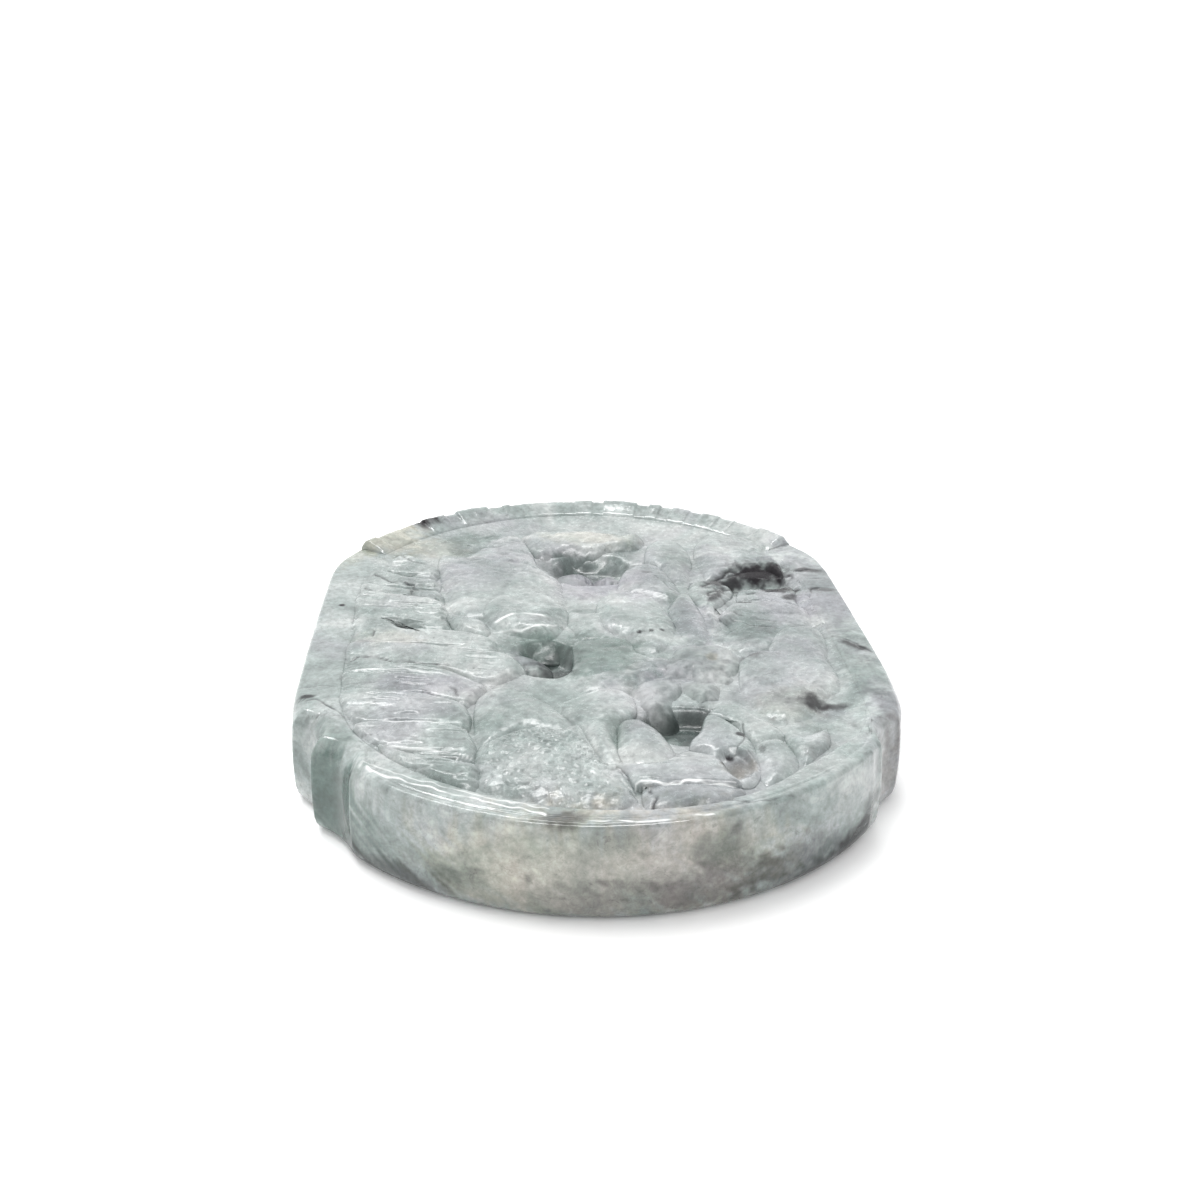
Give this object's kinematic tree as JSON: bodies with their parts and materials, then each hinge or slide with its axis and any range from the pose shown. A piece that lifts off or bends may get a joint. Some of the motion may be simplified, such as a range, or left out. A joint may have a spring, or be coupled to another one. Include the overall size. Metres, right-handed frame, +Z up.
{
  "type": "carved jade plaque",
  "caption": "Flat carved stone plaque with arched ends, a polished rim and a recessed field of relief carving, made to lie flat or be worn as a pendant.",
  "frame": {"origin": "middle of the underside, which is the face it rests on", "axes": "+X across the plaque, +Y towards its crested end, +Z up out of the carved face"},
  "size_m": [0.044, 0.0574, 0.008],
  "materials": {
    "jade_slab": "polished grey-green jade",
    "jade_crest": "polished pale jade with a yellowish skin in the corner",
    "jade_plumes": "polished pale jade with a lavender cast",
    "jade_clouds": "polished pale blue-green jade",
    "jade_dark": "polished jade with dark grey-green inclusions",
    "jade_bird": "polished blue-green jade"
  },
  "bodies": {
    "root": {"plaque_body": "jade_slab", "crest": "jade_crest", "far_bank": "jade_plumes", "corner_boss": "jade_plumes", "plume_1": "jade_plumes", "plume_2": "jade_plumes", "plume_3": "jade_plumes", "plume_4": "jade_plumes", "plume_5": "jade_plumes", "plume_6": "jade_plumes", "plume_7": "jade_plumes", "plume_8": "jade_plumes", "plume_9": "jade_plumes", "plume_10": "jade_plumes", "crag": "jade_bird", "neck": "jade_bird", "breast": "jade_bird", "stalk_1": "jade_bird", "stalk_2": "jade_bird", "bridge": "jade_bird", "flank": "jade_bird", "ribbon": "jade_clouds", "side_panel": "jade_clouds", "rock_1": "jade_dark", "rock_2": "jade_dark", "rock_3": "jade_dark", "rock_4": "jade_dark", "cloud_1": "jade_clouds", "cloud_2": "jade_clouds", "cloud_3": "jade_clouds", "cloud_4": "jade_clouds", "cloud_5": "jade_clouds", "cloud_6": "jade_clouds", "cloud_7": "jade_clouds", "cloud_8": "jade_clouds", "knob": "jade_dark", "ledge": "jade_clouds", "leaf_1": "jade_bird", "leaf_2": "jade_bird", "leaf_3": "jade_bird", "shoulder": "jade_bird", "coil": "jade_bird", "tail_root": "jade_bird", "tail_fan": "jade_bird", "ridge": "jade_clouds", "curl": "jade_clouds", "near_bank": "jade_clouds"}
  },
  "joints": []
}
